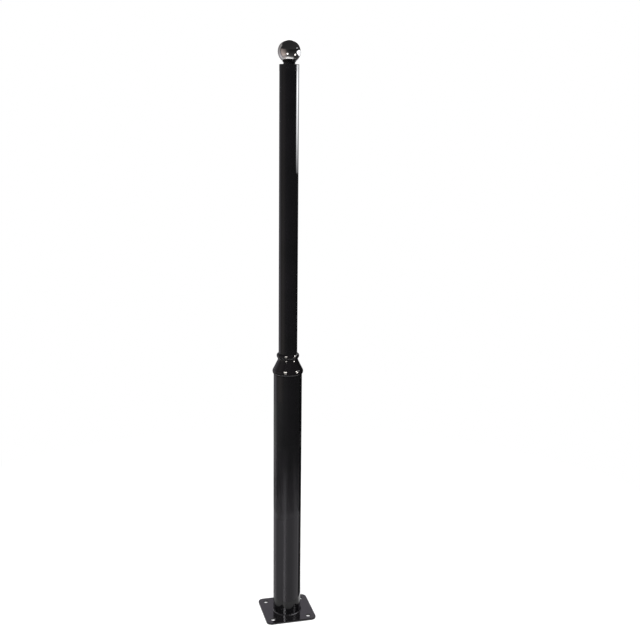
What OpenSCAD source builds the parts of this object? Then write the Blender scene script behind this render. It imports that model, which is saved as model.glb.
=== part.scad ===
// Sectional street light pole on a bolted flange.
// The base tube is welded to a square plate. A cast collar steps down to a thinner tube,
// which ends in a flush cap, a short seat and a polished ball.
// The origin is the centre of the plate's underside, and +Z runs up the pole.

/* [Base plate] */
// Side of the square plate
plate_side = 140; // [124:1:220]
// Thickness of the plate
plate_t = 5; // [3:0.5:12]
// Radius of the plate's four corners in plan
plate_corner_r = 15; // [5:1:24]
// Rounding along the plate's upper edge
plate_edge_r = 0.8; // [0.2:0.1:1.5]
// Distance between neighbouring bolt holes, the same on all four sides
bolt_spacing = 100; // [88:1:104]
// Diameter of a bolt hole
bolt_hole_d = 14; // [8:0.5:18]
// Diameter of the cable hole in the middle of the plate
cable_hole_d = 40; // [16:1:50]

/* [Base tube] */
// Outside diameter of the base tube
base_tube_d = 76; // [62:0.5:94]
// Wall of the base tube
base_tube_wall = 1.5; // [1:0.1:3]
// Cut length of the base tube
base_tube_l = 703; // [400:1:1500]
// Leg of the weld bead round the tube's foot
weld_leg = 3; // [2:0.5:6]

/* [Upper tube] */
// Outside diameter of the upper tube
upper_tube_d = 50; // [38:0.5:60]
// Wall of the upper tube
upper_tube_wall = 1.2; // [0.8:0.1:2]
// Cut length of the upper tube, from the end of its spigot to its top
upper_tube_l = 805; // [300:1:2500]
// Outside diameter of the swaged spigot is the upper tube's, less this much
swage = 2.8; // [1.6:0.1:4]
// Length of the slope between the full tube and the spigot
swage_slope = 4; // [2:0.5:8]

/* [Reducing collar] */
// How far the collar's lip reaches down over the base tube
lip_overlap = 8; // [4:0.5:12]
// How far the lower bead stands out from the base tube
bead_proud = 3.1; // [1.5:0.1:5]
// Radius of the lower bead's rounding
bead_round = 11.5; // [10:0.5:24]
// Height of the lower bead's widest place above the lip's edge
bead_mid_h = 5.5; // [5:0.1:9]
// Height of the cone's foot above the lip's edge
cone_foot_h = 12.3; // [11:0.1:14]
// Height of the cone's top above the lip's edge
cone_top_h = 36.5; // [32:0.5:60]
// Wall of the cone, measured level
cone_wall = 3.5; // [2.5:0.1:5]
// Radius of the hollow blend between cone and neck
neck_blend_r = 13; // [4:0.5:20]
// How far the neck stands out from the upper tube
neck_proud = 1.9; // [1.5:0.1:4]
// Height of the neck, up to the ring bead's lower edge
neck_h = 4.5; // [2:0.5:10]
// How far the ring bead stands out from the upper tube
ring_proud = 5.2; // [3:0.1:8]
// Height of the ring bead's lower curve
ring_lower_h = 7; // [6:0.5:16]
// Radius of the ring bead's upper rounding
ring_round = 6.9; // [5.5:0.1:9]
// Length of the skirt that goes down inside the base tube
skirt_l = 25; // [12:1:60]
// Wall of the skirt
skirt_wall = 2; // [1.5:0.1:3]
// Depth of the socket from the collar's top to the ledge that carries the spigot
socket_depth = 75; // [60:1:120]
// Wall of the socket
socket_wall = 2.4; // [2:0.1:4]
// Depth of the wide mouth that takes the full upper tube
mouth_depth = 5; // [3:0.5:8]
// Thickness of the ledge under the spigot
ledge_t = 3; // [2:0.5:5]
// Width of the ledge, inwards from the socket's wall
ledge_w = 3.8; // [2.5:0.1:5]
// Number of ribs between skirt and socket
rib_count = 4; // [3:1:8]
// Thickness of a rib
rib_t = 2.5; // [1.5:0.1:4]
// Height of the ribs' lower edge above the skirt's end
rib_rise = 8; // [2:1:11]

/* [End cap] */
// Height of the cap that shows above the tube
cap_h = 15.5; // [8:0.5:30]
// How far the cap stands out from the tube
cap_proud = 0.15; // [0.05:0.05:0.8]
// Rounding of the cap's top edge
cap_edge_r = 1.2; // [0.4:0.1:3]
// Thickness of the cap's top wall
cap_top_t = 3; // [2:0.5:5]
// Length of the plug that goes down inside the upper tube
plug_l = 18; // [10:1:30]
// Wall of the plug
plug_wall = 2; // [1.2:0.1:3]

/* [Ball finial] */
// Diameter of the ball
ball_d = 58; // [46:0.5:76]
// Wall of the hollow ball
ball_wall = 1; // [0.8:0.1:2]
// Diameter of the seat's rim under the ball
seat_d = 34.5; // [30:0.5:38]
// Height of the seat's rim above the cap
seat_h = 7.5; // [5.5:0.5:12]
// Diameter of the seat's foot on the cap
seat_foot_d = 30; // [20:0.5:31]
// Thickness of the seat's rounded rim
seat_rim_t = 2; // [1:0.1:2.5]
// Width of the rim outside the dish
seat_land = 0.5; // [0.5:0.1:2]
// Diameter of the stud that holds the ball
stud_d = 8; // [6:1:10]
// Diameter of the bush inside the ball
bush_d = 18; // [16:0.5:24]
// Length of the bush, from the bottom of the ball's inside
bush_l = 13; // [10:1:16]
// Outside diameter of the washer
washer_d = 20; // [18:0.5:24]
// Thickness of the washer
washer_t = 1.6; // [1:0.1:3]
// Width of the nut across its flats
nut_flats = 13; // [11:1:17]
// Height of the nut
nut_h = 6.5; // [4:0.5:9]
// How far the stud shows below the nut
stud_tail = 3; // [1:0.5:8]

/* [Fits] */
// Radial clearance between the base tube and the collar's lip and skirt
tube_fit = 0.2; // [0.1:0.05:0.5]
// Radial clearance between the upper tube and the collar's socket
socket_fit = 0.15; // [0.1:0.05:0.5]
// Radial clearance of the cap's plug in the upper tube
plug_fit = 0.2; // [0.1:0.05:0.5]
// Gap between the ball and its seat's dish, and between the bush and the ball's wall
ball_fit = 0.15; // [0.1:0.05:0.4]
// Radial clearance of the stud's plain holes
stud_hole_fit = 0.3; // [0.2:0.1:1]
// Radial clearance of the stud in its nut and bush
thread_fit = 0.05; // [0.03:0.01:0.1]
// Radial clearance between the weld bead and the tube
weld_fit = 0.05; // [0.03:0.01:0.1]

/* [Hidden] */
$fn = 96;
black = "#1a191c";
steel = "#b9b7b4";
mirror_steel = "#cfc9c4";

// A cut runs this far past the surface that it opens
over = 1;

// Radii
base_r = base_tube_d / 2;
base_bore_r = base_r - base_tube_wall;
upper_r = upper_tube_d / 2;
upper_bore_r = upper_r - upper_tube_wall;
spigot_r = upper_r - swage / 2;
spigot_bore_r = spigot_r - upper_tube_wall;
ball_r = ball_d / 2;
seat_r = seat_d / 2;
seat_foot_r = seat_foot_d / 2;
stud_r = stud_d / 2;
stud_hole_r = stud_r + stud_hole_fit;
thread_r = stud_r + thread_fit;

// The collar's own radii
lip_bore_r = base_r + tube_fit;
skirt_r = base_bore_r - tube_fit;
skirt_bore_r = skirt_r - skirt_wall;
mouth_r = upper_r + socket_fit;
socket_r = spigot_r + socket_fit;
sleeve_r = socket_r + socket_wall;
ledge_r = socket_r - ledge_w;
neck_r = upper_r + neck_proud;
ring_r = upper_r + ring_proud;
bead_r = base_r + bead_proud;

// The lower bead is a round of radius bead_round, and the cone starts on it
bead_centre_r = bead_r - bead_round;
cone_foot_r = bead_centre_r + sqrt(pow(bead_round, 2) - pow(cone_foot_h - bead_mid_h, 2));
cone_slope = (cone_foot_r - neck_r) / (cone_top_h - cone_foot_h);
cone_angle = atan(cone_slope);
blend_leg = neck_blend_r * tan(cone_angle / 2);
blend_foot_h = cone_top_h - blend_leg * cos(cone_angle);
blend_top_h = cone_top_h + blend_leg;

// The ring bead: a long curve below its widest place and a short round above it
ring_foot_h = cone_top_h + neck_h;
ring_mid_h = ring_foot_h + ring_lower_h;
ring_drop = ring_r - neck_r;
ring_lower_round = (pow(ring_lower_h, 2) + pow(ring_drop, 2)) / (2 * ring_drop);
ring_centre_r = ring_r - ring_round;
collar_h = ring_mid_h + sqrt(pow(ring_round, 2) - pow(mouth_r - ring_centre_r, 2));

// Heights above the ground
base_tube_top = plate_t + base_tube_l;
lip_z = base_tube_top - lip_overlap;
skirt_z = base_tube_top - skirt_l;
collar_top = lip_z + collar_h;
ledge_z = collar_top - socket_depth;
sleeve_z = ledge_z - ledge_t;
upper_tube_top = ledge_z + upper_tube_l;
cap_top = upper_tube_top + cap_h;
cap_ceiling = cap_top - cap_top_t;
seat_top = cap_top + seat_h;
dish_r = ball_r + ball_fit;
ball_z = seat_top + sqrt(pow(dish_r, 2) - pow(seat_r - seat_land, 2));
ball_floor = ball_z - ball_r + ball_wall;
washer_z = cap_ceiling - washer_t;
nut_z = washer_z - nut_h;
stud_z = nut_z - stud_tail;

// A rectangle in the revolving plane, from radius r0 to r1 and height z0 to z1
module band(r0, r1, z0, z1) {
    translate([r0, z0]) square([r1 - r0, z1 - z0]);
}

// The plate's cross-section near its rim, with its upper outer edge rounded
module rim_section(width) {
    square([width, plate_t - plate_edge_r]);
    square([width - plate_edge_r, plate_t]);
    translate([width - plate_edge_r, plate_t - plate_edge_r]) circle(plate_edge_r);
}

// One quarter turn of rim at each corner, and one straight run of rim along each side
module plate_blank() {
    core = plate_side - 2 * plate_corner_r;
    translate([-core / 2, -core / 2, 0]) cube([core, core, plate_t]);
    for (side = [0:3]) rotate([0, 0, 90 * side]) {
        translate([core / 2, core / 2, 0])
            rotate_extrude(angle = 90) rim_section(plate_corner_r);
        translate([core / 2, core / 2, 0]) rotate([90, 0, 0])
            linear_extrude(core) rim_section(plate_corner_r);
    }
}

module base_plate() {
    color(black) difference() {
        plate_blank();
        translate([0, 0, -over]) cylinder(d = cable_hole_d, h = plate_t + 2 * over);
        for (x = [-1, 1], y = [-1, 1])
            translate([x * bolt_spacing / 2, y * bolt_spacing / 2, -over])
                cylinder(d = bolt_hole_d, h = plate_t + 2 * over);
    }
}

// A convex fillet bead that lies on the plate round the tube's foot
module foot_weld() {
    color(black) translate([0, 0, plate_t]) rotate_extrude()
        translate([base_r + weld_fit, 0]) intersection() {
            circle(weld_leg);
            square(weld_leg);
        }
}

module base_tube() {
    color(black) translate([0, 0, plate_t]) rotate_extrude()
        band(base_bore_r, base_r, 0, base_tube_l);
}

// The collar's outside, from the lip's edge up, with height 0 at that edge
module collar_form() {
    // Lower bead
    intersection() {
        translate([bead_centre_r, bead_mid_h]) circle(bead_round);
        band(0, bead_r, 0, cone_foot_h);
    }
    band(0, bead_centre_r, 0, cone_foot_h);
    // Cone, with the hollow blend into the neck
    polygon([[0, cone_foot_h], [cone_foot_r, cone_foot_h], [neck_r, cone_top_h], [0, cone_top_h]]);
    difference() {
        polygon([[0, blend_foot_h],
                 [neck_r + blend_leg * sin(cone_angle), blend_foot_h],
                 [neck_r, blend_top_h],
                 [0, blend_top_h]]);
        translate([neck_r + neck_blend_r, blend_top_h]) circle(neck_blend_r);
    }
    band(0, neck_r, cone_top_h, ring_mid_h);
    // Ring bead: lower curve, then upper round
    intersection() {
        translate([ring_r - ring_lower_round, ring_mid_h]) circle(ring_lower_round);
        band(0, ring_r, ring_foot_h, ring_mid_h);
    }
    intersection() {
        translate([ring_centre_r, ring_mid_h]) circle(ring_round);
        band(0, ring_r, ring_mid_h, collar_h + ring_round);
    }
    band(0, ring_centre_r, ring_mid_h, collar_h);
}

// Half cross-section of the collar, before its hollow is cut
module collar_section() {
    difference() {
        union() {
            translate([0, lip_z]) collar_form();
            band(0, skirt_r, skirt_z, base_tube_top);
            band(0, sleeve_r, sleeve_z, base_tube_top);
        }
        // The groove that takes the base tube's end
        band(skirt_r, lip_bore_r, lip_z - over, base_tube_top);
        // Cable passage, socket, slope and mouth
        band(0, ledge_r, sleeve_z - over, ledge_z + over);
        polygon([[0, ledge_z],
                 [socket_r, ledge_z],
                 [socket_r, collar_top - mouth_depth - swage_slope],
                 [mouth_r, collar_top - mouth_depth],
                 [mouth_r, collar_top + ring_round],
                 [0, collar_top + ring_round]]);
    }
}

// Height at which the cone's inner face has the radius r
function cone_inside_z(r) = lip_z + cone_foot_h + (cone_foot_r - cone_wall - r) / cone_slope;

// Half cross-section of the hollow between the socket and the skirt and cone
module collar_hollow() {
    polygon([[sleeve_r, sleeve_z - over],
             [skirt_bore_r, sleeve_z - over],
             [skirt_bore_r, cone_inside_z(skirt_bore_r)],
             [sleeve_r, cone_inside_z(sleeve_r)]]);
}

// Ribs that carry the socket inside the skirt, from their lower edge to above the hollow
module collar_ribs() {
    rib_z = skirt_z + rib_rise;
    for (i = [0:rib_count - 1]) rotate([0, 0, 360 / rib_count * (i + 0.5)])
        translate([0, -rib_t / 2, rib_z]) cube([base_r, rib_t, collar_top - rib_z]);
}

module reducing_collar() {
    color(black) difference() {
        rotate_extrude() collar_section();
        difference() {
            rotate_extrude() collar_hollow();
            collar_ribs();
        }
    }
}

// A tube whose foot is swaged down to a spigot that stands on the collar's ledge
module upper_tube() {
    slope_z = collar_top - mouth_depth;
    spigot_top = slope_z - swage_slope;
    color(black) rotate_extrude()
        polygon([[spigot_bore_r, ledge_z],
                 [spigot_r, ledge_z],
                 [spigot_r, spigot_top],
                 [upper_r, slope_z],
                 [upper_r, upper_tube_top],
                 [upper_bore_r, upper_tube_top],
                 [upper_bore_r, slope_z],
                 [spigot_bore_r, spigot_top]]);
}

module end_cap() {
    head_r = upper_r + cap_proud;
    plug_r = upper_bore_r - plug_fit;
    plug_z = upper_tube_top - plug_l;
    color(black) rotate_extrude() difference() {
        union() {
            band(0, head_r, upper_tube_top, cap_top - cap_edge_r);
            band(0, head_r - cap_edge_r, upper_tube_top, cap_top);
            translate([head_r - cap_edge_r, cap_top - cap_edge_r]) circle(cap_edge_r);
            band(0, plug_r, plug_z, upper_tube_top);
        }
        band(0, plug_r - plug_wall, plug_z - over, cap_ceiling);
        band(0, stud_hole_r, cap_ceiling - over, cap_top + over);
    }
}

// A short cup: an upright foot, a hollow flare and a rounded rim, dished to the ball
module finial_seat() {
    rim_round = seat_rim_t / 2;
    rim_centre_r = seat_r - rim_round;
    rim_z = seat_top - seat_rim_t;
    flare = rim_centre_r - seat_foot_r;
    color(black) rotate_extrude() difference() {
        union() {
            band(stud_hole_r, seat_foot_r, cap_top, seat_top);
            difference() {
                band(stud_hole_r, rim_centre_r, rim_z - flare, rim_z);
                translate([rim_centre_r, rim_z - flare]) circle(flare);
            }
            band(stud_hole_r, rim_centre_r, rim_z, seat_top);
            translate([rim_centre_r, rim_z + rim_round]) circle(rim_round);
        }
        translate([0, ball_z]) circle(dish_r);
    }
}

module ball_finial() {
    color(mirror_steel) difference() {
        translate([0, 0, ball_z]) sphere(ball_r);
        translate([0, 0, ball_z]) sphere(ball_r - ball_wall);
        translate([0, 0, ball_z - ball_r - over]) cylinder(r = stud_hole_r, h = ball_wall + 2 * over);
    }
}

// A threaded bush whose foot follows the inside of the ball
module ball_bush() {
    color(steel) difference() {
        intersection() {
            translate([0, 0, ball_z]) sphere(ball_r - ball_wall - ball_fit);
            translate([0, 0, ball_floor]) cylinder(d = bush_d, h = bush_l);
        }
        translate([0, 0, ball_floor - over]) cylinder(r = thread_r, h = bush_l + 2 * over);
    }
}

module finial_stud() {
    color(steel) translate([0, 0, stud_z]) cylinder(r = stud_r, h = ball_floor + bush_l - stud_z);
}

module finial_washer() {
    color(steel) translate([0, 0, washer_z]) rotate_extrude()
        band(stud_hole_r, washer_d / 2, 0, washer_t);
}

module finial_nut() {
    color(steel) translate([0, 0, nut_z]) difference() {
        cylinder(r = nut_flats / sqrt(3), h = nut_h, $fn = 6);
        translate([0, 0, -over]) cylinder(r = thread_r, h = nut_h + 2 * over);
    }
}

base_plate();
foot_weld();
base_tube();
reducing_collar();
upper_tube();
end_cap();
finial_seat();
ball_finial();
ball_bush();
finial_stud();
finial_washer();
finial_nut();
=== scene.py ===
# %% [markdown]
# # A sectional street light pole
# The pole is a base tube on a welded flange, a cast reducing collar, a thinner upper tube, a flush cap and
# a polished ball. The lengths, walls and holes were settled in the CAD model, which is loaded here and
# never moved. This script gives each part the finish of the real one. It makes the few pieces that are too
# fine for the CAD model: the weld's ripples, the thread, the nut's corners and a truly round ball. Then it
# sets up a small studio round the pole.

# %% Load the frame
import math

import bpy
from mathutils import Matrix, Vector


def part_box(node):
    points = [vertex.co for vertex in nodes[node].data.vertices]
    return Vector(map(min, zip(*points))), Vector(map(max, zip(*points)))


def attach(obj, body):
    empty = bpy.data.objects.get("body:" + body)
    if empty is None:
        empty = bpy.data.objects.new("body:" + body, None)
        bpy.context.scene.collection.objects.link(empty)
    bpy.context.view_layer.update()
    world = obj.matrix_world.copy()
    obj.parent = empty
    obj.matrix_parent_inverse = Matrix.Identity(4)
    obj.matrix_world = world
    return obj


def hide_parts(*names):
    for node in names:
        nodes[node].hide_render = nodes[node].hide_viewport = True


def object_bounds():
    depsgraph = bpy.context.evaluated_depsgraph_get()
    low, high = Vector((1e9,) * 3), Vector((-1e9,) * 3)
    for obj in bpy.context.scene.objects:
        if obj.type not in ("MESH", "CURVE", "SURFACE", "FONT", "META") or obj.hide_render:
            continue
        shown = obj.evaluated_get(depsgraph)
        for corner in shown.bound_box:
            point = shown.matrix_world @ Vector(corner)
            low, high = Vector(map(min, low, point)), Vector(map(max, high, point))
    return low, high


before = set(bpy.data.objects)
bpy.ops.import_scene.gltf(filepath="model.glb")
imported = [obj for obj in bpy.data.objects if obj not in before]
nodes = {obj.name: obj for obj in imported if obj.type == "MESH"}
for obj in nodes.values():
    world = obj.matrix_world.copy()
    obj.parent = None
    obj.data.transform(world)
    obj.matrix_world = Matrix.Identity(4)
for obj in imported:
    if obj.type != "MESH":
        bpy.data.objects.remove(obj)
cad_low, cad_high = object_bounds()
print("parts:", sorted(nodes))
print("CAD box, mm:", [round((high - low) * 1000, 1) for low, high in zip(cad_low, cad_high)])

# %% [markdown]
# ## Camera
# A tall thin object is best seen from a little above its middle with a moderately long lens, so that the
# tubes taper only slightly. Blender's camera looks along its own -Z axis with +Y up, so its matrix is built
# from three directions: right, up and backwards. Here they come from a heading, a downward pitch and a
# small roll, which is easier to adjust by hand than a rotation in quaternions. The turn is measured from
# the plate's front, and the same turn later places the lamps.

# %% Camera values
MM = 0.001
camera_turn = math.radians(12.91)      # how far the camera stands to the left of the plate's front
camera_distance = 2.5126               # from the pole's axis, measured level, in metres
camera_height = 1.4136
camera_pitch = math.radians(12.75)     # looking down
camera_aim = math.radians(1.93)        # aimed to the right of the pole
camera_roll = math.radians(0.70)
lens_length = 54.66                    # this and the sensor are in mm, as Blender wants them
sensor_width = 36
print("lens", lens_length, "mm,", camera_distance, "m from the pole")

# %% Camera
heading = camera_turn + camera_aim
forward = Vector((math.sin(heading) * math.cos(camera_pitch),
                  math.cos(heading) * math.cos(camera_pitch),
                  -math.sin(camera_pitch)))
level_right = Vector((math.cos(heading), -math.sin(heading), 0))
level_up = level_right.cross(forward)
right = level_right * math.cos(camera_roll) + level_up * math.sin(camera_roll)
up = level_up * math.cos(camera_roll) - level_right * math.sin(camera_roll)
place = Vector((-math.sin(camera_turn) * camera_distance,
                -math.cos(camera_turn) * camera_distance,
                camera_height))

camera = bpy.data.objects.new("camera", bpy.data.cameras.new("camera"))
camera.matrix_world = Matrix.Translation(place) @ Matrix((right, up, -forward)).transposed().to_4x4()
camera.data.sensor_width = sensor_width
camera.data.lens = lens_length
bpy.context.scene.collection.objects.link(camera)
bpy.context.scene.camera = camera
print("camera at", [round(c, 3) for c in place])

# %% [markdown]
# ## Helpers for materials
# A material is a small graph of nodes. One helper adds a node, sets its properties and fills its inputs: an
# input gets a number or a colour, or a link if it is given another node's output. Colours are written as
# the usual sRGB hex values and turned to the linear values that the renderer works in.

# %% Colour and node helpers
def linear(hex_colour):
    """The linear RGBA value of an sRGB hex colour."""
    channels = [int(hex_colour[i:i + 2], 16) / 255 for i in (1, 3, 5)]
    return tuple(c / 12.92 if c <= 0.04045 else ((c + 0.055) / 1.055) ** 2.4 for c in channels) + (1.0,)


def add_node(tree, kind, inputs=None, **properties):
    """Adds one node, sets its properties, and gives each input a value or a link."""
    made = tree.nodes.new(kind)
    for name, value in properties.items():
        setattr(made, name, value)
    for name, value in (inputs or {}).items():
        socket = made.inputs[name]
        if isinstance(value, bpy.types.NodeSocket):
            tree.links.new(value, socket)
        else:
            socket.default_value = value
    return made


def new_tree(name):
    """A new material and its emptied node tree."""
    material = bpy.data.materials.new(name)
    material.use_nodes = True
    material.node_tree.nodes.clear()
    return material, material.node_tree


def finish_tree(tree, shader):
    """Links the last shader to the material's output."""
    add_node(tree, "ShaderNodeOutputMaterial", {"Surface": shader})


white = linear("#ffffff")
print("black enamel in linear values:", [round(c, 4) for c in linear("#131214")[:3]])

# %% [markdown]
# ## Patterns
# A real surface is uneven in tone, dust, gloss and level, and that is what tells it from a plain one. Soft
# noise in the part's own space gives all of these. Its scale is the real size of each kind of spot, unless
# a comment says that it is drawn coarser.

# %% Spots and patches
def spots(tree, size, detail=2.0, stretch=(1, 1, 1)):
    """Soft random spots of about one size in metres, from 0 to 1."""
    space = add_node(tree, "ShaderNodeTexCoord")
    mapped = add_node(tree, "ShaderNodeMapping", {"Vector": space.outputs["Object"], "Scale": stretch})
    noise = add_node(tree, "ShaderNodeTexNoise",
                     {"Vector": mapped.outputs["Vector"], "Scale": 1 / size, "Detail": detail})
    return noise.outputs["Fac"]


def patches(tree, size, detail=2.0, values=(0, 1), between=(0.3, 0.7), stretch=(1, 1, 1)):
    """Spots spread over a range of values. The noise itself mostly stays between 0.3 and 0.7."""
    made = add_node(tree, "ShaderNodeMapRange",
                    {"Value": spots(tree, size, detail, stretch),
                     "From Min": between[0], "From Max": between[1],
                     "To Min": values[0], "To Max": values[1]})
    return made.outputs["Result"]


print("noise patterns ready")

# %% Patterns that follow the shape
def facing_axis(tree):
    """1 on a wall that faces the pole's axis, such as the inside of a tube, and 0 elsewhere."""
    geometry = add_node(tree, "ShaderNodeNewGeometry")
    level = add_node(tree, "ShaderNodeVectorMath",
                     {0: geometry.outputs["Position"], 1: (1.0, 1.0, 0.0)}, operation="MULTIPLY")
    outward = add_node(tree, "ShaderNodeVectorMath", {0: level.outputs["Vector"]}, operation="NORMALIZE")
    along = add_node(tree, "ShaderNodeVectorMath",
                     {0: outward.outputs["Vector"], 1: geometry.outputs["True Normal"]},
                     operation="DOT_PRODUCT")
    return add_node(tree, "ShaderNodeMath", {0: along.outputs["Value"], 1: -0.5},
                    operation="LESS_THAN").outputs["Value"]


def facing_up(tree):
    """0 on a wall or underside, rising to 1 on a surface that faces up, where dust settles."""
    geometry = add_node(tree, "ShaderNodeNewGeometry")
    parts = add_node(tree, "ShaderNodeSeparateXYZ", {"Vector": geometry.outputs["True Normal"]})
    return add_node(tree, "ShaderNodeMapRange",
                    {"Value": parts.outputs["Z"], "From Min": 0.6, "From Max": 1.0,
                     "To Min": 0, "To Max": 1}).outputs["Result"]


print("shape patterns ready")

# %% [markdown]
# ## Stoved black enamel on steel tube
# The tubes and plate are mild steel, degreased, sprayed with black enamel and baked. The baked film is
# glassy: it reflects about 4 % of the light straight on and far more at a glancing angle, which is what a
# dielectric of IOR 1.5 does by itself. The film is not perfectly flat. It has orange peel, shallow bumps a
# few millimetres apart, and the tube under it has a long faint waviness from rolling, so edges of
# reflections waver a little. A plain black colour with a low roughness would look like plastic pipe, so the
# roughness varies with handling, the black shifts slightly in tone, and a little dust lies where a face
# looks up. Inside the tubes the spray only mists the wall, so dull grey phosphate shows through.

# %% Colour of the enamel
tone_size = 60 * MM
mist_size = 9 * MM


def enamel_colour(tree, black, shade, dust, inside):
    """Black that shifts in tone, greyed by dust, with phosphate grey on the inside of a tube."""
    tone = add_node(tree, "ShaderNodeMix",
                    {"Factor": patches(tree, tone_size), "A": linear(black), "B": linear(shade)},
                    data_type="RGBA")
    dusty = add_node(tree, "ShaderNodeMix",
                     {"Factor": dust, "A": tone.outputs["Result"], "B": linear("#4a4848")},
                     data_type="RGBA")
    mist = add_node(tree, "ShaderNodeMix",
                    {"Factor": patches(tree, mist_size, 5), "A": linear("#2b2c2e"),
                     "B": linear("#4b4c4f")}, data_type="RGBA")
    colour = add_node(tree, "ShaderNodeMix",
                      {"Factor": inside, "A": dusty.outputs["Result"], "B": mist.outputs["Result"]},
                      data_type="RGBA")
    return colour.outputs["Result"]


print("the black shifts in tone over", tone_size * 1000, "mm")

# %% Level of the enamel
wave_size = 70 * MM
wave_stretch = (1, 1, 0.35)      # drawn out to 200 mm along the pole
grain_size = 2 * MM              # what shot-blasting leaves on a casting


def enamel_bump(tree, peel, peel_height, wave_height, grain_height):
    """Rolling waves, then orange peel, then the grain of a casting if there is one."""
    bump = add_node(tree, "ShaderNodeBump",
                    {"Height": spots(tree, wave_size, 1, wave_stretch), "Strength": 1.0,
                     "Distance": wave_height})
    bump = add_node(tree, "ShaderNodeBump",
                    {"Height": spots(tree, peel, 1), "Strength": 1.0, "Distance": peel_height,
                     "Normal": bump.outputs["Normal"]})
    if grain_height:
        bump = add_node(tree, "ShaderNodeBump",
                        {"Height": spots(tree, grain_size, 3), "Strength": 1.0,
                         "Distance": grain_height, "Normal": bump.outputs["Normal"]})
    return bump.outputs["Normal"]


print("the steel waves over", wave_size * 1000, "mm")

# %% Enamel on the tubes and the plate
dust_size = 4 * MM
dust_cover = 0.16                # how much of the enamel the thickest dust hides
handling_size = 35 * MM
mist_roughness = 0.55


def enamel(name, black, shade, roughness, peel, peel_height, wave_height, grain_height=0.0):
    """A baked black enamel. Sizes are in metres, and roughness is its lowest and highest value."""
    material, tree = new_tree(name)
    inside = facing_axis(tree)
    dust = add_node(tree, "ShaderNodeMath",
                    {0: facing_up(tree), 1: patches(tree, dust_size, 6, (0.0, dust_cover), (0.4, 0.75))},
                    operation="MULTIPLY").outputs["Value"]
    gloss = add_node(tree, "ShaderNodeMath",
                     {0: patches(tree, handling_size, 4, roughness), 1: dust},
                     operation="ADD").outputs["Value"]
    rough = add_node(tree, "ShaderNodeMix", {"Factor": inside, "A": gloss, "B": mist_roughness},
                     data_type="FLOAT")
    surface = add_node(tree, "ShaderNodeBsdfPrincipled",
                       {"Base Color": enamel_colour(tree, black, shade, dust, inside),
                        "Roughness": rough.outputs["Result"], "IOR": 1.5,
                        "Normal": enamel_bump(tree, peel, peel_height, wave_height, grain_height)})
    finish_tree(tree, surface.outputs["BSDF"])
    return material


# Real orange peel is 2 to 4 mm across. On the tubes it is drawn at 5 mm, so that it shows from 2.5 m away.
tube_enamel = enamel("stoved_enamel_on_tube", "#0d0d0e", "#111012", roughness=(0.030, 0.060),
                     peel=5 * MM, peel_height=0.0025 * MM, wave_height=0.03 * MM)
plate_enamel = enamel("stoved_enamel_on_plate", "#0e0d0f", "#131214", roughness=(0.050, 0.090),
                      peel=4 * MM, peel_height=0.005 * MM, wave_height=0.02 * MM)
print("made", tube_enamel.name, "and", plate_enamel.name)

# %% [markdown]
# ## The same enamel over castings
# The collar is a casting in aluminium alloy, shot-blasted before painting, so the enamel lies over a faint
# grain and the black is a touch warmer. The cap and the seat under the ball are smaller castings with a
# satin top coat: their highlights are wider and softer than the tube's, which is how the eye tells them
# apart.

# %% Casting finishes
collar_enamel = enamel("stoved_enamel_on_casting", "#0f0e10", "#141214", roughness=(0.022, 0.038),
                       peel=4 * MM, peel_height=0.0015 * MM, wave_height=0.004 * MM,
                       grain_height=0.0003 * MM)
cap_enamel = enamel("satin_enamel_on_casting", "#0f0e10", "#131214", roughness=(0.19, 0.24),
                    peel=4 * MM, peel_height=0.006 * MM, wave_height=0.0,
                    grain_height=0.0015 * MM)
print("made", collar_enamel.name, "and", cap_enamel.name)

# %% [markdown]
# ## Mirror-polished stainless steel
# The ball is spun from stainless sheet and buffed on a wheel. Polished stainless reflects about 65 % of the
# light and slightly less of the blue, so it looks a little warmer and darker than chrome. As a metal it
# gets all of its colour from what it reflects. Buffing leaves hair-fine rings round the ball's axis and
# faint smears, which are the only things that break up the mirror.

# %% Mirror steel
def mirror_stainless():
    """Buffed stainless steel with faint rings round the vertical axis and a dull inside."""
    material, tree = new_tree("mirror_polished_stainless")
    # Faint smears about 14 mm wide and 9 mm high. The inside is left as it was spun, so it is duller.
    smear = patches(tree, 14 * MM, 5, (0.010, 0.050), (0.35, 0.75), (1, 1, 1.6))
    rough = add_node(tree, "ShaderNodeMix", {"Factor": facing_axis(tree), "A": smear, "B": 0.38},
                     data_type="FLOAT")
    tint = add_node(tree, "ShaderNodeMix",
                    {"Factor": patches(tree, 25 * MM, 3), "A": linear("#d2d0ce"),
                     "B": linear("#cbc9c8")}, data_type="RGBA")
    # Buffing scratches are under 0.1 mm apart. They are drawn 0.6 mm apart, so that they show close up.
    rings = spots(tree, 12 * MM, 3, (1, 1, 20))
    bump = add_node(tree, "ShaderNodeBump", {"Height": rings, "Strength": 1.0, "Distance": 0.00015 * MM})
    surface = add_node(tree, "ShaderNodeBsdfPrincipled",
                       {"Base Color": tint.outputs["Result"], "Metallic": 1.0,
                        "Roughness": rough.outputs["Result"], "Normal": bump.outputs["Normal"]})
    finish_tree(tree, surface.outputs["BSDF"])
    return material


ball_steel = mirror_stainless()
print("made", ball_steel.name)

# %% [markdown]
# ## Zinc-plated steel
# The stud, nut, washer and bush sit inside the pole. They are bright zinc-plated, as such fasteners are: a
# bluish grey metal with turning marks and a soft, slightly cloudy gloss.

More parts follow.
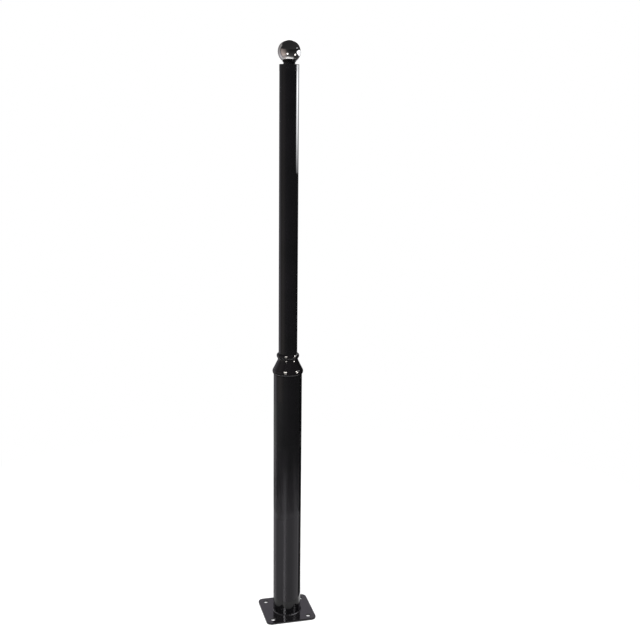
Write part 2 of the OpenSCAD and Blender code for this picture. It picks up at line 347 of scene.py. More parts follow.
# %% Zinc plating
def zinc_plate():
    """Bright zinc plating over turned steel."""
    material, tree = new_tree("zinc_plated_turned_steel")
    colour = add_node(tree, "ShaderNodeMix",
                      {"Factor": patches(tree, 3 * MM, 4), "A": linear("#b7bcc2"),
                       "B": linear("#a4a7a6")}, data_type="RGBA")
    # Turning marks are 0.1 to 0.2 mm apart. They are drawn 0.4 mm apart, so that they show close up.
    turning = spots(tree, 6 * MM, 3, (1, 1, 14))
    bump = add_node(tree, "ShaderNodeBump", {"Height": turning, "Strength": 1.0, "Distance": 0.008 * MM})
    surface = add_node(tree, "ShaderNodeBsdfPrincipled",
                       {"Base Color": colour.outputs["Result"], "Metallic": 1.0,
                        "Roughness": patches(tree, 2 * MM, 3, (0.22, 0.40)),
                        "Normal": bump.outputs["Normal"]})
    finish_tree(tree, surface.outputs["BSDF"])
    return material


zinc = zinc_plate()
print("made", zinc.name)

# %% [markdown]
# ## Finishes on the CAD parts
# Eight of the twelve CAD parts keep their mesh and only get a better material in their slots. The weld, the
# ball, the stud and the nut are not in the list, because finer pieces take their places below.

# %% Put the finishes on the CAD parts
finishes = {
    "base_plate": plate_enamel, "base_tube": tube_enamel, "upper_tube": tube_enamel,
    "reducing_collar": collar_enamel, "end_cap": cap_enamel, "finial_seat": cap_enamel,
    "ball_bush": zinc, "finial_washer": zinc,
}
for name, material in finishes.items():
    for slot in nodes[name].material_slots:
        slot.material = material
print("finished", len(finishes), "CAD parts")

# %% [markdown]
# ## Helper for turned pieces
# The weld, the ball, the stud and the nut are all closed rings round the pole's axis. Each is given as a
# function from a turn angle to the loop of points that is the section there. The loops are joined round the
# axis, so a ripple, a thread or a hexagon is only a section that changes with the angle.

# %% Rings round the axis
def ring_piece(name, section, turns, material, replaced, smooth_angle=30):
    """Joins one closed section per turn step into a ring, and puts it in the place of a CAD node."""
    loops = [section(2 * math.pi * i / turns) for i in range(turns)]
    count = len(loops[0])
    points = []
    for i, loop in enumerate(loops):
        turn = 2 * math.pi * i / turns
        points += [(r * math.cos(turn), r * math.sin(turn), z) for r, z in loop]
    faces = []
    for i in range(turns):
        here, there = i * count, (i + 1) % turns * count
        for k in range(count):
            after = (k + 1) % count
            faces.append((here + k, there + k, there + after, here + after))
    mesh = bpy.data.meshes.new(name)
    mesh.from_pydata(points, [], faces)
    mesh.validate()
    mesh.shade_smooth()
    mesh.set_sharp_from_angle(angle=math.radians(smooth_angle))
    piece = bpy.data.objects.new(name, mesh)
    bpy.context.scene.collection.objects.link(piece)
    mesh.materials.append(material)
    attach(piece, "root")
    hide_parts(replaced)
    print(name, len(points), "points,", len(faces), "faces")
    return piece


# %% [markdown]
# ## The weld round the tube's foot
# The tube is joined to the plate by one run of arc weld. A welder's run freezes in overlapping crescents
# about 2 mm apart, and it ends with a small overlap on its own start. Under the enamel only those soft
# ripples show. The CAD model has a smooth bead of the same size, so the ripples only go inwards from it.

# %% Weld sizes
weld_low, weld_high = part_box("foot_weld")
weld_outer = weld_high.x
weld_foot = weld_low.z
weld_leg = weld_high.z - weld_foot
weld_inner = weld_outer - weld_leg
ripple_pitch = 2.1 * MM
ripple_depth = 0.22 * MM
ripple_lag = 0.9           # how far a crescent's two ends trail behind its middle, in half ripples
ripple_at_edge = 0.35      # the share of its depth that a ripple keeps at the bead's two edges
ripples = round(2 * math.pi * weld_outer / ripple_pitch)
overlap_turn = 0.12        # how far the overlap runs out to each side, in radians
overlap_rise = 0.12 * MM   # how far the overlap stands above the rest of the run
print("weld:", ripples, "ripples, leg", round(weld_leg * 1000, 2), "mm")

# %% Weld bead
bead_steps = 10
steps_in_ripple = 8


def smooth_step(value, start, end):
    """Rises smoothly from 0 at start to 1 at end."""
    share = min(1.0, max(0.0, (value - start) / (end - start)))
    return share * share * (3 - 2 * share)


def weld_section(turn):
    """A quarter-round fillet whose surface dips between the ripples."""
    off_overlap = smooth_step(abs(turn - math.pi), 0.0, overlap_turn)
    loop = [(weld_inner, weld_foot)]
    for k in range(bead_steps + 1):
        share = k / bead_steps
        crown = math.sin(math.pi * share)      # 1 in the bead's middle and 0 at its edges
        lag = ripple_lag * (2 * share - 1) ** 2
        wave = abs(math.sin((turn * ripples + lag * math.pi) / 2))
        dip = ripple_depth * (1 - wave) ** 1.5 * (ripple_at_edge + (1 - ripple_at_edge) * crown)
        leg = weld_leg - dip - overlap_rise * off_overlap * crown
        angle = math.pi / 2 * share
        loop.append((weld_inner + leg * math.cos(angle), weld_foot + leg * math.sin(angle)))
    return loop


weld = ring_piece("foot_weld_bead", weld_section, ripples * steps_in_ripple, plate_enamel,
                  "foot_weld", smooth_angle=50)

# %% [markdown]
# ## The ball
# A mirror shows the smallest flat facet, so the ball is remade with many small faces and true round
# shading. It is the same hollow shell as in the CAD model: an outer and an inner sphere joined at the
# stud's hole.

# %% Ball
ball_low, ball_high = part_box("ball_finial")
ball_r = (ball_high.x - ball_low.x) / 2
ball_centre = ball_high.z - ball_r
ball_wall = 1.0 * MM
ball_hole = 4.3 * MM
ball_rows = 96
pinhole = 0.004      # left open at the very top, in radians, so that no points fall together there


def ball_section(turn):
    """The shell's section, from the hole up the outside and back down the inside."""
    loop = []
    for radius, order in ((ball_r, 1), (ball_r - ball_wall, -1)):
        start = math.asin(ball_hole / radius)
        angles = [start + (math.pi - pinhole - start) * k / ball_rows for k in range(ball_rows + 1)]
        loop += [(radius * math.sin(a), ball_centre - radius * math.cos(a)) for a in angles[::order]]
    return loop


ball = ring_piece("polished_ball", ball_section, 160, ball_steel, "ball_finial",
                  smooth_angle=40)
print("ball: diameter", round(ball_r * 2000, 2), "mm, centre", round(ball_centre * 1000, 1), "mm up")

# %% [markdown]
# ## Stud and nut
# The ball is pulled down on its seat by an M8 stud with a nut and washer under the cap. The CAD model has a
# plain rod and a plain hexagon of the right size. Here the rod gets its thread, and the nut its chamfered
# corners. A thread is a ring section whose depth depends on the height and the turn together.

# %% Thread sizes
stud_low, stud_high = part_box("finial_stud")
stud_r = (stud_high.x - stud_low.x) / 2
stud_l = stud_high.z - stud_low.z
stud_core = 0.02 * MM        # a hair-fine hole along the axis, so that no points fall together there
thread_pitch = 1.25 * MM
thread_depth = 0.61 * thread_pitch
flank_slope = 2.3            # the thread is a trapezoid: a flat root and crest with flanks between
flank_offset = 0.55
end_chamfer = 0.8 * MM
rows_in_pitch = 8
print("thread:", round(stud_l / thread_pitch, 1), "turns,", round(thread_depth * 1000, 2), "mm deep")

# %% Threaded stud
stud_rows = round(stud_l / thread_pitch * rows_in_pitch)


def stud_section(turn):
    """The rod's section, with a trapezoid thread that winds up it and bevelled ends."""
    loop = [(stud_core, stud_low.z)]
    for k in range(stud_rows + 1):
        z = stud_low.z + stud_l * k / stud_rows
        phase = (z / thread_pitch - turn / (2 * math.pi)) % 1.0
        crest = min(1.0, max(0.0, flank_slope * abs(2 * phase - 1) - flank_offset))
        r = stud_r - thread_depth * (1 - crest)
        to_end = min(z - stud_low.z, stud_high.z - z)
        loop.append((min(r, stud_r - end_chamfer + to_end), z))
    return loop + [(stud_core, stud_high.z)]


ring_piece("threaded_stud", stud_section, 40, zinc, "finial_stud")

# %% Nut
nut_low, nut_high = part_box("finial_nut")
nut_flat = min(nut_high.x - nut_low.x, nut_high.y - nut_low.y) / 2
corner_on_x = (nut_high.x - nut_low.x) > (nut_high.y - nut_low.y)
nut_bore = stud_r + 0.05 * MM
bore_chamfer = 0.4 * MM
nut_face = nut_flat * 0.97         # the radius at which the corners start to slope away
corner_slope = math.tan(math.radians(30))


def nut_section(turn):
    """A hexagon's section at one turn, bored, with its corners chamfered."""
    from_corner = turn if corner_on_x else turn + math.pi / 6
    from_flat = from_corner % (math.pi / 3) - math.pi / 6
    r = nut_flat / math.cos(from_flat)
    drop = max(0.0, r - nut_face) * corner_slope
    face = min(r, nut_face)
    bore_face = nut_bore + bore_chamfer
    return [(nut_bore, nut_low.z + bore_chamfer), (bore_face, nut_low.z), (face, nut_low.z),
            (r, nut_low.z + drop), (r, nut_high.z - drop), (face, nut_high.z),
            (bore_face, nut_high.z), (nut_bore, nut_high.z - bore_chamfer)]


ring_piece("hexagon_nut", nut_section, 96, zinc, "finial_nut", smooth_angle=20)
print("nut:", round(nut_flat * 2000, 1), "mm across flats")

# %% [markdown]
# ## World and floor
# The pole stands on white paper that runs on into a white background. The world is white to the eye, but it
# lights the pole with less than half of that, so that the lamps can give the light a direction. The paper
# is a plain pale colour. Seen by the camera and by reflections it is lifted a little and fades to pure
# white away from the pole, so the background has no edge, and the shadow stays near the foot. From below it
# is clear, so that the underside of the plate can be looked at.

# %% World
world_light = 0.40


def seen_directly(tree):
    """1 for camera, glossy and transmission rays, and 0 for the rays that carry light to a surface."""
    rays = add_node(tree, "ShaderNodeLightPath")
    first = add_node(tree, "ShaderNodeMath",
                     {0: rays.outputs["Is Camera Ray"], 1: rays.outputs["Is Glossy Ray"]}, operation="ADD")
    return add_node(tree, "ShaderNodeMath",
                    {0: first.outputs["Value"], 1: rays.outputs["Is Transmission Ray"]},
                    operation="ADD", use_clamp=True).outputs["Value"]


world = bpy.data.worlds.new("white_studio")
world.use_nodes = True
world_tree = world.node_tree
world_tree.nodes.clear()
strength = add_node(world_tree, "ShaderNodeMapRange",
                    {"Value": seen_directly(world_tree), "From Min": 0, "From Max": 1,
                     "To Min": world_light, "To Max": 1.0})
sky = add_node(world_tree, "ShaderNodeBackground",
               {"Color": white, "Strength": strength.outputs["Result"]})
add_node(world_tree, "ShaderNodeOutputWorld", {"Surface": sky.outputs["Background"]})
bpy.context.scene.world = world
print("the world lights the pole at", world_light)

# %% Floor
floor_half = 30.0
floor_drop = 0.0004      # the floor lies this far under the plate, so that they share no plane
floor_mesh = bpy.data.meshes.new("white_paper_floor")
floor_mesh.from_pydata([(-floor_half, -floor_half, -floor_drop), (floor_half, -floor_half, -floor_drop),
                        (floor_half, floor_half, -floor_drop), (-floor_half, floor_half, -floor_drop)],
                       [], [(0, 1, 2, 3)])
floor = bpy.data.objects.new("white_paper_floor", floor_mesh)
bpy.context.scene.collection.objects.link(floor)
print("floor", 2 * floor_half, "m wide")

# %% Paper
paper_lift = 0.30                    # added to the paper where it is seen directly
fade_start, fade_end = 0.6, 1.6      # from the pole, in metres


def background_paper():
    """Uncoated white paper with a faint tone from its fibres, clear from below."""
    material, tree = new_tree("white_background_paper")
    fibres = add_node(tree, "ShaderNodeMix",
                      {"Factor": patches(tree, 8 * MM, 4), "A": linear("#efefef"),
                       "B": linear("#f1f1f1")}, data_type="RGBA")
    matt = add_node(tree, "ShaderNodeBsdfDiffuse", {"Color": fibres.outputs["Result"]})
    lift = add_node(tree, "ShaderNodeEmission", {"Color": white, "Strength": paper_lift})
    lifted = add_node(tree, "ShaderNodeAddShader", {0: matt.outputs["BSDF"], 1: lift.outputs["Emission"]})
    direct = seen_directly(tree)
    near = add_node(tree, "ShaderNodeMixShader",
                    {"Fac": direct, 1: matt.outputs["BSDF"], 2: lifted.outputs["Shader"]})
    where = add_node(tree, "ShaderNodeNewGeometry")
    away = add_node(tree, "ShaderNodeVectorMath", {0: where.outputs["Position"]}, operation="LENGTH")
    far = add_node(tree, "ShaderNodeMapRange",
                   {"Value": away.outputs["Value"], "From Min": fade_start, "From Max": fade_end,
                    "To Min": 0, "To Max": 1})
    fade = add_node(tree, "ShaderNodeMath", {0: far.outputs["Result"], 1: direct}, operation="MULTIPLY")
    pure = add_node(tree, "ShaderNodeEmission", {"Color": white, "Strength": 1.0})
    sweep = add_node(tree, "ShaderNodeMixShader",
                     {"Fac": fade.outputs["Value"], 1: near.outputs["Shader"],
                      2: pure.outputs["Emission"]})
    clear = add_node(tree, "ShaderNodeBsdfTransparent")
    one_sided = add_node(tree, "ShaderNodeMixShader",
                         {"Fac": where.outputs["Backfacing"], 1: sweep.outputs["Shader"],
                          2: clear.outputs["BSDF"]})
    finish_tree(tree, one_sided.outputs["Shader"])
    return material


floor_mesh.materials.append(background_paper())
print("the paper fades to white from", fade_start, "to", fade_end, "m")

# %% [markdown]
# ## Lamps
# Two large soft lamps light the paper and the paint: one overhead and one in front. With the world they add
# up to a level at which a colour renders as it is written. Their own shapes are kept out of the gloss,
# because what a glossy black surface shows is set separately, by the nets and cards below.

# %% Lamps
def from_pole(azimuth, distance, height=0.0):
    """A place by its direction from the pole, in degrees to the camera's right of the camera itself."""
    angle = math.radians(azimuth)
    towards = Vector((-math.sin(camera_turn), -math.cos(camera_turn), 0))
    sideways = Vector((math.cos(camera_turn), -math.sin(camera_turn), 0))
    level_place = (towards * math.cos(angle) + sideways * math.sin(angle)) * distance
    return level_place + Vector((0, 0, height))


def soft_lamp(name, place, target, size, power):
    """A square area lamp that faces a target and isn't itself reflected."""
    lamp = bpy.data.objects.new(name, bpy.data.lights.new(name, "AREA"))
    lamp.data.shape = "SQUARE"
    lamp.data.size = size
    lamp.data.energy = power
    lamp.location = place
    lamp.rotation_mode = "QUATERNION"
    lamp.rotation_quaternion = (target - place).to_track_quat("-Z", "Y")
    lamp.visible_glossy = False
    lamp.visible_camera = False
    bpy.context.scene.collection.objects.link(lamp)
    print(name, "at", [round(c, 2) for c in place], power, "W")


foot = Vector((0, 0, 0))
middle = (cad_low + cad_high) / 2
soft_lamp("overhead_softbox", Vector((0, 0, 3.4)), foot, size=3.0, power=80)
soft_lamp("front_softbox", from_pole(-20, 3.6, 2.2), middle, size=2.0, power=110)

# %% [markdown]
# ## What the gloss reflects
# In a white room, glossy black turns grey. So the pole is surrounded by black net, thin where a pale
# reflection is wanted and dense where the enamel should stay black. The bright things that the gloss
# catches are shining sheets and cards. All of them exist only for reflections: neither the camera nor the
# light on the paper sees them. A sheet can be shown to chosen parts only, as a photographer shades a lamp
# off the rest.
#
# Each sheet goes round the pole, or part of the way. It is given by a few rings, each with its distance and
# height in metres, and by some directions, in degrees to the camera's right, with a value for each ring.
# For a net the value is the share of the light that it lets through. For a shining sheet it is the
# brightness, with white paper as 1.

# %% Net and shining material
def black_net():
    """Net that lets through the share written in its sheet."""
    material, tree = new_tree("black_net")
    level = add_node(tree, "ShaderNodeAttribute", attribute_name="level")
    gap = add_node(tree, "ShaderNodeBsdfTransparent", {"Color": level.outputs["Color"]})
    finish_tree(tree, gap.outputs["BSDF"])
    return material


def shining_sheet():
    """A clear sheet that shines as brightly as is written in it."""
    material, tree = new_tree("shining_sheet")
    level = add_node(tree, "ShaderNodeAttribute", attribute_name="level")
    shine = add_node(tree, "ShaderNodeEmission", {"Color": level.outputs["Color"], "Strength": 1.0})
    gap = add_node(tree, "ShaderNodeBsdfTransparent", {"Color": white})
    both = add_node(tree, "ShaderNodeAddShader", {0: gap.outputs["BSDF"], 1: shine.outputs["Emission"]})
    finish_tree(tree, both.outputs["Shader"])
    return material


net = black_net()
shining = shining_sheet()
print("made", net.name, "and", shining.name)

# %% Sheets
degrees_in_step = 2


def only_in_gloss(thing, parts=()):
    """Shows a piece of the studio to reflections only, and only in the given parts if there are any."""
    bpy.context.scene.collection.objects.link(thing)
    thing.visible_camera = False
    thing.visible_diffuse = False
    thing.visible_shadow = False
    thing.visible_transmission = False
    if parts:
        seen_in = bpy.data.collections.new("seen_in_" + thing.name)
        for part in parts:
            seen_in.objects.link(part)
        thing.light_linking.receiver_collection = seen_in


def sheet(name, rings, stations, material, tint=(1.0, 1.0, 1.0), parts=()):
    """A sheet through the rings. Each station is a direction and the value at each ring."""
    start, end = stations[0][0], stations[-1][0]
    steps = round((end - start) / degrees_in_step)
    points, faces, levels = [], [], []
    for i in range(steps + 1):
        azimuth = start + (end - start) * i / steps
        after = next(k for k in range(1, len(stations)) if stations[k][0] >= azimuth - 1e-6)
        low, high = stations[after - 1], stations[after]
        share = (azimuth - low[0]) / (high[0] - low[0])
        for k, (distance, height) in enumerate(rings):
            points.append(from_pole(azimuth, distance, height))
            value = low[k + 1] + (high[k + 1] - low[k + 1]) * share
            levels += [value * t for t in tint] + [1.0]
    count = len(rings)
    for i in range(steps):
        for k in range(count - 1):
            a, b = i * count + k, (i + 1) * count + k
            faces.append((a, b, b + 1, a + 1))
    mesh = bpy.data.meshes.new(name)
    mesh.from_pydata(points, [], faces)
    mesh.attributes.new("level", "FLOAT_COLOR", "POINT").data.foreach_set("color", levels)
    mesh.materials.append(material)
    only_in_gloss(bpy.data.objects.new(name, mesh), parts)
    print(name, "from", start, "to", end, "degrees,", len(faces), "faces")


def upright(*stations):
    """Stations for an upright sheet, which has two rings and the same value at both."""
    return [(azimuth, value, value) for azimuth, value in stations]


# %% [markdown]
# The walls of net stand 2 m from the pole. Straight behind the pole they are partly open for the pale sheen
# on the plate. At the left they are half open, warm towards the front, and in front and at the right they
# are nearly black.

# %% Nets as walls
wall_rings = [(2.0, 0.0), (2.0, 0.5), (2.0, 1.1), (2.0, 1.6), (2.0, 2.05), (2.0, 2.12)]
sheet("net_back_left", wall_rings,
      [(-180, 0.40, 0.40, 0.40, 0.40, 0.30, 0.05),
       (-175, 0.10, 0.10, 0.10, 0.10, 0.10, 0.05),
       (-150, 0.12, 0.12, 0.12, 0.10, 0.10, 0.05),
       (-137, 0.46, 0.42, 0.34, 0.15, 0.10, 0.05),
       (-118, 0.66, 0.60, 0.34, 0.22, 0.10, 0.04),
       (-104, 0.46, 0.40, 0.27, 0.22, 0.05, 0.03),
       (-97, 0.28, 0.24, 0.17, 0.13, 0.03, 0.03)], net, (1.0, 0.96, 1.04))
sheet("net_left", wall_rings,
      [(-97, 0.28, 0.24, 0.17, 0.13, 0.03, 0.03),
       (-90, 0.28, 0.26, 0.18, 0.15, 0.12, 0.03),
       (-76, 0.38, 0.32, 0.24, 0.21, 0.19, 0.03),
       (-60, 0.40, 0.32, 0.22, 0.18, 0.16, 0.03),
       (-45, 0.28, 0.20, 0.14, 0.11, 0.10, 0.03),
       (-32, 0.16, 0.11, 0.07, 0.05, 0.04, 0.03)], net, (1.0, 0.92, 0.87))
sheet("net_front_and_right", wall_rings,
      [(-32, 0.16, 0.11, 0.07, 0.05, 0.04, 0.03),
       (-8, 0.11, 0.07, 0.05, 0.03, 0.03, 0.03),
       (6, 0.07, 0.05, 0.03, 0.02, 0.02, 0.02),
       (96, 0.06, 0.05, 0.04, 0.02, 0.02, 0.02),
       (128, 0.05, 0.04, 0.04, 0.04, 0.03, 0.03),
       (142, 0.10, 0.10, 0.10, 0.10, 0.05, 0.03),
       (150, 0.12, 0.12, 0.20, 0.25, 0.10, 0.03),
       (172, 0.12, 0.12, 0.30, 0.40, 0.20, 0.03),
       (180, 0.40, 0.40, 0.40, 0.40, 0.30, 0.05)], net)
sheet("net_overhead", [(2.0, 2.12), (2.0, 3.2), (0.02, 3.6)],
      [(-180, 0.05, 0.04, 0.03),
       (-120, 0.05, 0.04, 0.03),
       (-90, 0.03, 0.03, 0.03),
       (180, 0.05, 0.04, 0.03)], net)

# %% [markdown]
# The white paper is the brightest thing that the lower tube could show, so it is covered by net too: flat
# on the floor out to the walls, and upright close round the foot. Flat beside the plate, a net that is
# darkest at the plate's edge and opens outwards is a painted shadow: it stands in for the plate's shadow on
# the paper, as the gloss sees it. Under the collar a narrow ring of net sets how bright the fine line along
# its lip is. A black flag at the right keeps that edge of the tubes dark.

# %% Net on the floor
sheet("net_on_floor", [(0.72, 0.002), (0.98, 0.002), (1.18, 0.002), (1.42, 0.002), (2.0, 0.002)],
      [(-180, 0.10, 0.10, 0.10, 0.10, 0.10),
       (-160, 0.10, 0.10, 0.10, 0.10, 0.10),
       (-150, 0.40, 0.30, 0.26, 0.24, 0.24),
       (-135, 0.75, 0.60, 0.55, 0.52, 0.52),
       (-118, 0.95, 0.75, 0.66, 0.64, 0.66),
       (-102, 0.85, 0.58, 0.45, 0.43, 0.46),
       (-90, 0.80, 0.33, 0.20, 0.20, 0.24),
       (-75, 1.00, 0.38, 0.22, 0.21, 0.30),
       (-50, 1.00, 0.40, 0.20, 0.14, 0.28),
       (-28, 1.00, 0.70, 0.20, 0.10, 0.16),
       (-15, 1.00, 0.64, 0.21, 0.10, 0.14),
       (0, 0.90, 0.36, 0.20, 0.09, 0.09),
       (12, 0.75, 0.22, 0.09, 0.07, 0.06),
       (38, 0.75, 0.28, 0.12, 0.07, 0.06),
       (66, 0.95, 0.56, 0.18, 0.07, 0.06),
       (84, 0.90, 0.28, 0.09, 0.05, 0.05),
       (106, 0.70, 0.35, 0.13, 0.05, 0.05),
       (116, 0.20, 0.08, 0.05, 0.05, 0.05),
       (140, 0.20, 0.08, 0.05, 0.05, 0.05),
       (156, 0.12, 0.12, 0.12, 0.12, 0.12),
       (180, 0.10, 0.10, 0.10, 0.10, 0.10)], net)

# %% Nets close to the pole
sheet("net_round_foot", [(0.115, 0.002), (0.115, 0.34), (0.115, 0.46)],
      [(-180, 0.08, 0.08, 0.5),
       (-150, 0.10, 0.10, 0.5),
       (-140, 0.28, 0.28, 1.0),
       (-122, 0.40, 0.40, 1.0),
       (-102, 0.56, 0.56, 1.0),
       (-84, 0.42, 0.40, 1.0),
       (-76, 0.36, 0.33, 1.0),
       (-63, 0.46, 0.42, 1.0),
       (-38, 0.48, 0.48, 1.0),
       (-28, 0.52, 0.50, 1.0),
       (-22, 0.86, 0.78, 1.0),
       (-12, 0.86, 0.78, 1.0),
       (-5, 0.52, 0.48, 1.0),
       (10, 0.42, 0.40, 1.0),
       (33, 0.42, 0.40, 1.0),
       (57, 0.56, 0.52, 1.0),
       (66, 0.60, 0.54, 1.0),
       (75, 0.50, 0.46, 1.0),
       (80, 0.52, 0.48, 1.0),
       (84, 0.72, 0.50, 1.0),
       (89, 0.66, 0.56, 1.0),
       (93, 0.20, 0.60, 1.0),
       (97, 0.08, 0.60, 0.8),
       (100, 0.07, 0.05, 0.1),
       (142, 0.08, 0.06, 0.1),
       (180, 0.08, 0.08, 0.5)], net, (1.0, 0.97, 1.03))
# painted shadow: this net, darkest at the plate's edge, stands in for the plate's shadow on the paper in
# reflections
sheet("net_painting_plate_shadow", [(0.070, 0.003), (0.088, 0.003), (0.114, 0.003)],
      [(-180, 0.14, 0.44, 0.52),
       (96, 0.14, 0.44, 0.52),
       (110, 0.45, 0.90, 0.95),
       (150, 0.45, 0.90, 0.95),
       (170, 0.14, 0.44, 0.52),
       (180, 0.14, 0.44, 0.52)], net)
sheet("net_under_collar", [(0.043, 0.694), (0.060, 0.694), (0.080, 0.694), (0.105, 0.694)],
      [(-180, 0.45, 0.45, 0.30, 1.0),
       (180, 0.45, 0.45, 0.30, 1.0)], net)
sheet("flag_at_right", [(0.40, 0.40), (0.40, 1.10)], upright((108, 0.0), (140, 0.0)), net)

# %% [markdown]
# ## Window and cards
# Gloss also needs something bright to catch. A tall window to the right draws a pale strip down the upper
# tube and the cap, and shows on the collar too.

# %% Window
painted = (nodes["upper_tube"], nodes["end_cap"], nodes["reducing_collar"])
sheet("side_window", [(1.06, 1.155), (1.06, 1.30), (1.06, 1.45), (1.06, 1.62)],
      [(91, 0.0, 0.0, 0.0, 0.0),
       (93, 0.0, 3.0, 6.0, 6.0),
       (98, 0.0, 8.0, 11.0, 6.5),
       (104, 2.0, 12.5, 17.0, 7.0),
       (120, 1.5, 8.0, 14.0, 7.0),
       (127, 1.0, 2.0, 4.5, 4.0),
       (140, 0.5, 0.8, 1.2, 1.2),
       (155, 0.2, 0.3, 0.4, 0.4),
       (170, 0.1, 0.1, 0.1, 0.1)], shining, (0.97, 0.98, 1.0), painted)

# %% [markdown]
# Bulbs and small panes are oval cards that shine evenly. An oval is given by its direction and the angle to
# its side, its distance, its height and half of how tall it is. The ball is a mirror and shows far more of
# everything, so it has its own dimmer windows and bulbs. The collar's beads and the hollow of its neck are
# so tightly curved that only strong bulbs give them their sparkle, and two panes give them their share of
# the window's light.

# %% Oval cards
rim_points = 40


def glow(name, colour, strength):
    """A material that shines evenly and lets through what is behind it."""
    material, tree = new_tree(name)
    light = add_node(tree, "ShaderNodeEmission", {"Color": linear(colour), "Strength": strength})
    clear = add_node(tree, "ShaderNodeBsdfTransparent", {"Color": white})
    added = add_node(tree, "ShaderNodeAddShader", {0: clear.outputs["BSDF"], 1: light.outputs["Emission"]})
    finish_tree(tree, added.outputs["Shader"])
    return material


def oval(name, azimuth, half_turn, distance, height, half_height, material, parts):
    """An oval card that stands upright round the pole, given by its middle and its half sizes."""
    rim = []
    for k in range(rim_points):
        angle = math.tau * k / rim_points
        rim.append(from_pole(azimuth + half_turn * math.cos(angle), distance,
                             height + half_height * math.sin(angle)))
    mesh = bpy.data.meshes.new(name)
    mesh.from_pydata(rim, [], [tuple(range(rim_points))])
    mesh.materials.append(material)
    only_in_gloss(bpy.data.objects.new(name, mesh), parts)
    print(name, "at", azimuth, "degrees,", distance, "m away,", height, "m up")


# %% Cards for the ball
in_ball = (ball,)
oval("oval_window", 113, 34, 1.06, 1.425, 0.255, glow("window_daylight", "#f6f9ff", 2.2), in_ball)
oval("high_window", 90, 12, 1.90, 2.33, 0.10, glow("far_daylight", "#f6f9ff", 1.0), in_ball)
ball_lamp = glow("dimmed_bulb", "#fffcf8", 3.6)
oval("ball_lamp_left", -19, 9, 0.95, 1.05, 0.150, ball_lamp, in_ball)
oval("ball_lamp_right", 69, 9, 0.95, 1.02, 0.150, ball_lamp, in_ball)

# %% Cards for the collar
in_collar = (nodes["reducing_collar"],)
collar_lamp = glow("bright_bulb", "#fffaf2", 60.0)
oval("collar_lamp_left", -20, 15, 0.95, 1.57, 0.140, collar_lamp, in_collar)
oval("collar_lamp_right", 81, 8, 0.95, 1.40, 0.090, collar_lamp, in_collar)
oval("collar_pane", 107, 9, 0.95, 1.80, 0.130, glow("pane_glow", "#fbfcff", 22.0), in_collar)
oval("collar_pane_edge", 138, 10, 0.95, 1.30, 0.200, glow("pane_edge_glow", "#fbfcff", 4.0), in_collar)
oval("neck_lamp_left", -18, 10, 0.95, 0.80, 0.150, glow("shaded_bulb", "#fffaf2", 13.0), in_collar)
oval("neck_lamp_right", 74, 7, 0.95, 0.85, 0.100, glow("second_bulb", "#fffaf2", 50.0), in_collar)

# %% [markdown]
# The ball also mirrors the room: warm walls and a warm floor at the left, a paler wall behind them, and
# white sky behind, which shows on its upper rim. The enamel must not show these, so only the ball sees
# them.

# %% Reflectors for the ball
sheet("warm_reflector",
      [(1.95, 0.13), (1.95, 0.6), (1.95, 1.1), (1.95, 1.53), (1.95, 1.9), (1.95, 2.23)],
      [(-92, 0.40, 0.34, 0.34, 0.28, 0.18, 0.12),
       (-80, 0.40, 0.34, 0.32, 0.25, 0.15, 0.11),
       (-66, 0.42, 0.33, 0.24, 0.12, 0.08, 0.06),
       (-45, 0.40, 0.30, 0.18, 0.12, 0.07, 0.04),
       (-28, 0.10, 0.06, 0.05, 0.03, 0.01, 0.0),
       (-22, 0.0, 0.0, 0.0, 0.0, 0.0, 0.0)], shining, (1.0, 0.80, 0.74), in_ball)
sheet("warm_floor_reflector", [(0.60, 0.03), (0.90, 0.03), (1.40, 0.03), (1.95, 0.03)],
      [(-104, 0.0, 0.0, 0.0, 0.0),
       (-96, 0.10, 0.30, 0.25, 0.15),
       (-60, 0.10, 0.30, 0.25, 0.15),
       (-35, 0.0, 0.10, 0.10, 0.05),
       (-25, 0.0, 0.0, 0.0, 0.0)], shining, (1.0, 0.85, 0.82), in_ball)
sheet("back_reflector", [(1.95, 0.3), (1.95, 1.5), (1.95, 2.6), (1.95, 3.1)],
      [(-165, 0.05, 0.05, 0.05, 0.0),
       (-150, 0.15, 0.15, 0.20, 0.2),
       (-104, 0.25, 0.25, 0.35, 0.3),
       (-100, 0.0, 0.0, 0.0, 0.0)], shining, (1.0, 0.97, 0.95), in_ball)
sheet("white_sky_behind", [(1.6, 1.60), (1.6, 1.95), (1.6, 2.30), (1.6, 3.25)],
      [(152, 0.0, 0.0, 0.0, 0.0),
       (156, 1.5, 1.5, 1.5, 1.5),
       (180, 1.5, 1.5, 1.5, 1.5),
       (190, 0.0, 1.5, 1.5, 1.5),
       (200, 0.0, 0.0, 1.5, 1.5),
       (206, 0.0, 0.0, 0.0, 0.0)], shining, parts=in_ball)

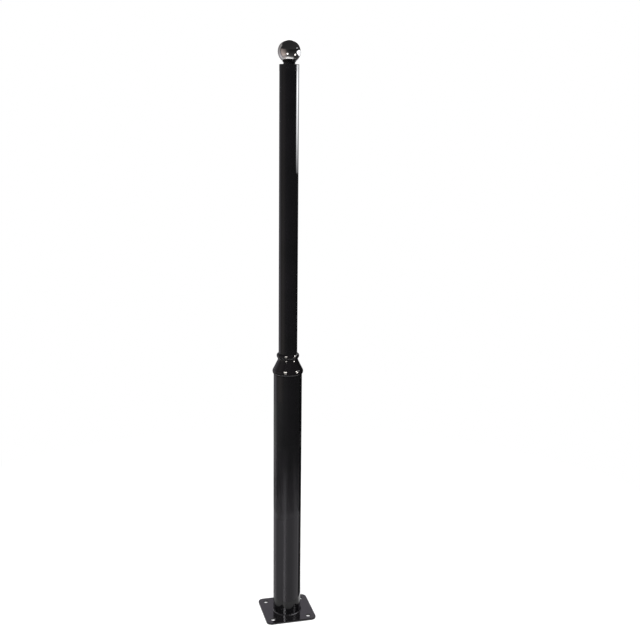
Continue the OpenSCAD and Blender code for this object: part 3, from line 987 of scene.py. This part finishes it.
# %% [markdown]
# Round the foot the enamel shows two thin streaks, from two strip lamps, one low in front and one at the
# right. Low down, each streak is a reflection of a reflection, tube in plate or plate in tube, so the
# strips have to be bright. They fade towards their sides, which keeps the streaks soft. Above that, the
# left streak on the tube comes from a shining stripe along the floor. A low pale card behind the plate
# gives its top a sheen. The weld is a rounded bead, so its fine line comes from a low band most of the way
# round, brightest at the right.

# %% Strips for the tube and the plate
foot_parts = (nodes["base_plate"], nodes["base_tube"])
strip_rings = [(1.0, 0.47), (1.0, 0.75)]
sheet("strip_left", strip_rings, upright((-29, 0.0), (-17, 32.0), (-5, 0.0)), shining, parts=foot_parts)
sheet("strip_right", strip_rings, upright((56, 0.0), (69, 13.0), (82, 0.0)), shining, parts=foot_parts)
sheet("streak_on_floor",
      [(0.080, 0.004), (0.094, 0.004), (0.16, 0.004), (0.34, 0.004), (0.50, 0.004), (0.75, 0.004)],
      [(-28, 0.0, 0.0, 0.0, 0.0, 0.0, 0.0),
       (-22, 0.45, 0.20, 0.42, 0.40, 0.16, 0.12),
       (-16, 0.90, 0.30, 0.42, 0.40, 0.16, 0.12),
       (-10, 0.60, 0.10, 0.0, 0.0, 0.0, 0.0),
       (-5, 0.0, 0.0, 0.0, 0.0, 0.0, 0.0)], shining, parts=(nodes["base_tube"],))

# %% Card behind the plate and strip for the weld
sheet("card_behind_plate", [(0.112, 0.004), (0.112, 0.14)],
      upright((100, 0.62), (180, 0.60), (260, 0.56)),
      shining, (1.0, 0.94, 1.08), (nodes["base_plate"],))
sheet("strip_for_weld", [(0.6, 0.04), (0.6, 0.30)],
      upright((-150, 5.0), (-40, 3.0), (-20, 2.0), (0, 0.5), (24, 2.0), (34, 14.0),
              (50, 21.0), (60, 28.0), (68, 20.0), (78, 4.0), (140, 2.0)),
      shining, parts=(weld,))

# %% [markdown]
# ## Last settings
# The Standard view transform shows colours as they are written.

# %% Finish
bpy.context.scene.view_settings.view_transform = "Standard"
